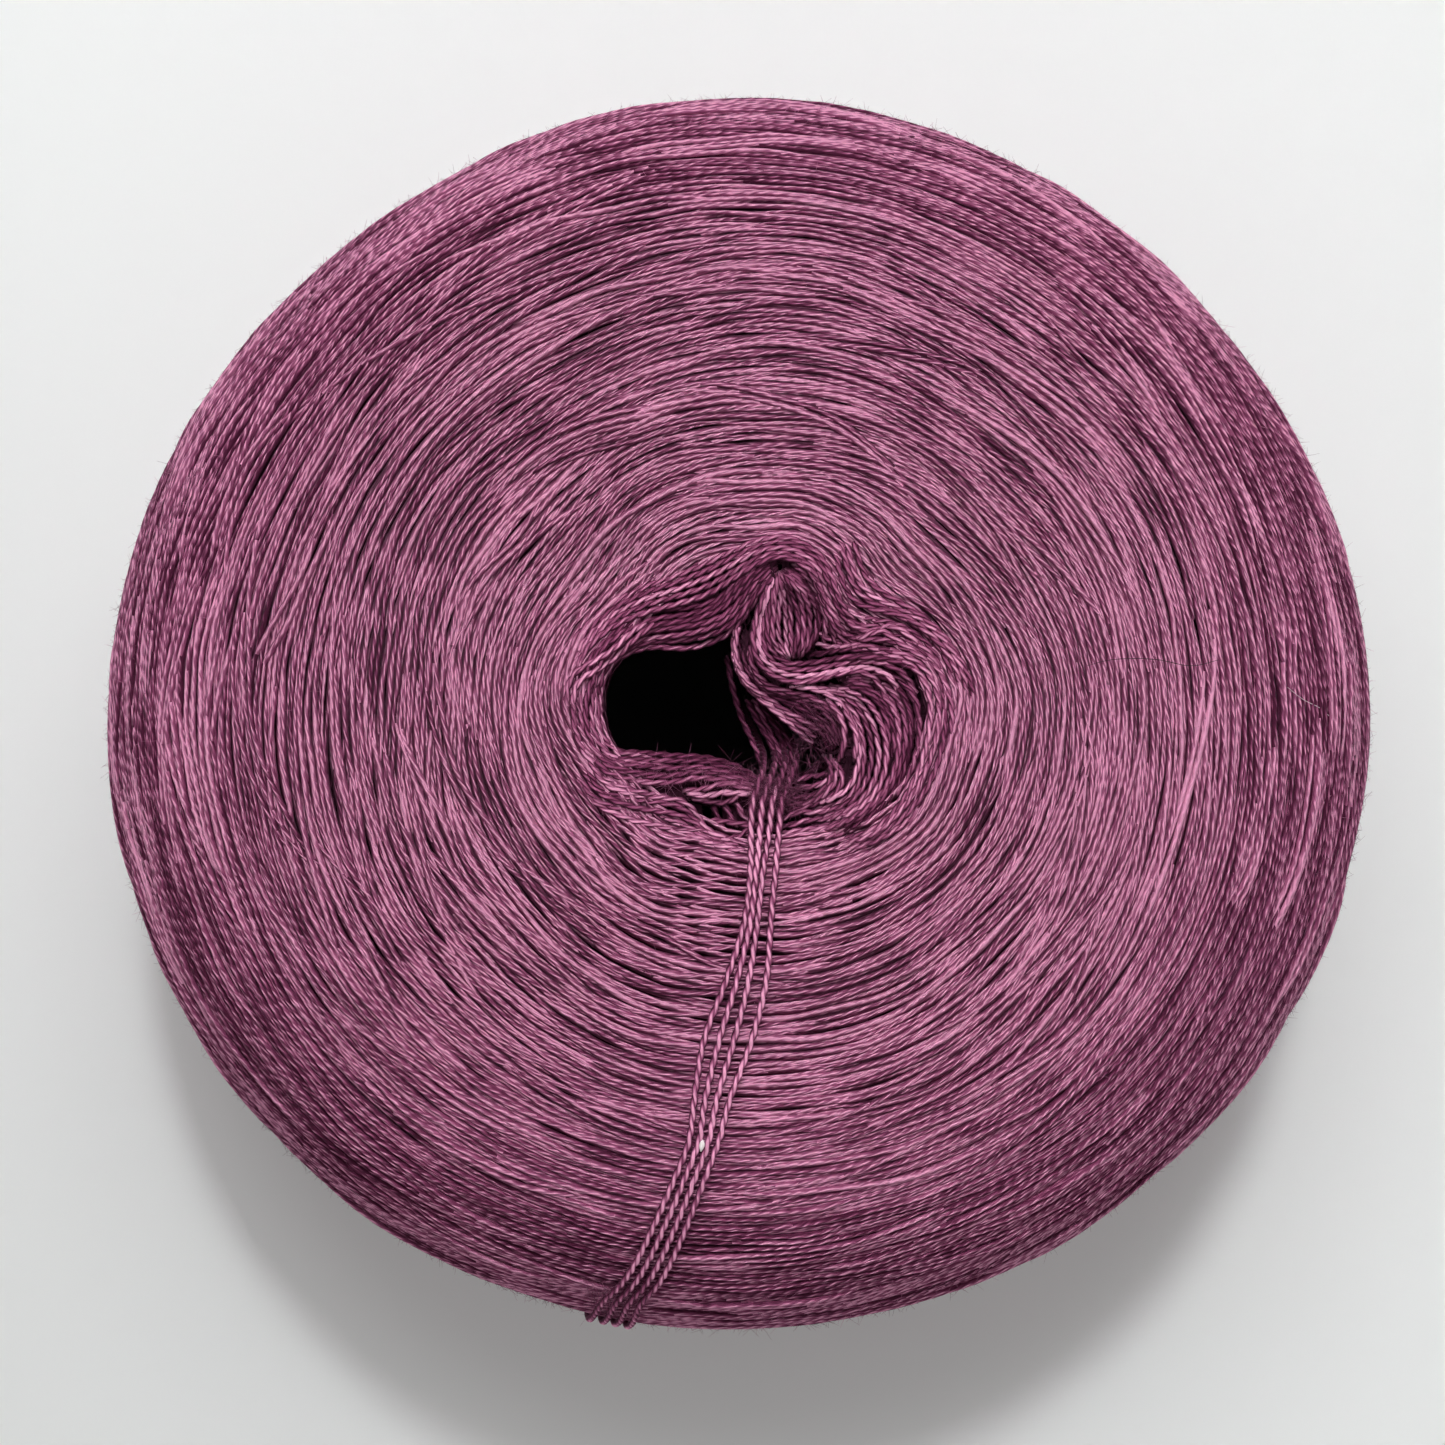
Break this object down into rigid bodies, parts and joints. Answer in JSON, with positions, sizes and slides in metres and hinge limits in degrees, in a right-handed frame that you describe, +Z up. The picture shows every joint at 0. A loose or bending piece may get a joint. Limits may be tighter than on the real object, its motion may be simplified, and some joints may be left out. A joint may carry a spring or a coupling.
{
  "type": "yarn cake",
  "caption": "Round wound cake of fine mauve yarn with a hollow, partly collapsed centre and a loose end that runs from the hole over the rim.",
  "frame": {"origin": "middle of the flat underside, on the surface that the cake rests on", "axes": "+Z up along the axis of the winding; the loose end goes over the rim on the -Y side"},
  "size_m": [0.1101, 0.108, 0.0655],
  "materials": {
    "yarn": "matt two-ply yarn, heathered mauve",
    "loose_yarn": "matt two-ply yarn, heathered mauve"
  },
  "bodies": {
    "root": {"wound_yarn": "yarn", "loose_thread_1": "loose_yarn", "loose_thread_2": "loose_yarn", "loose_thread_3": "loose_yarn", "loose_thread_4": "loose_yarn"}
  },
  "joints": []
}
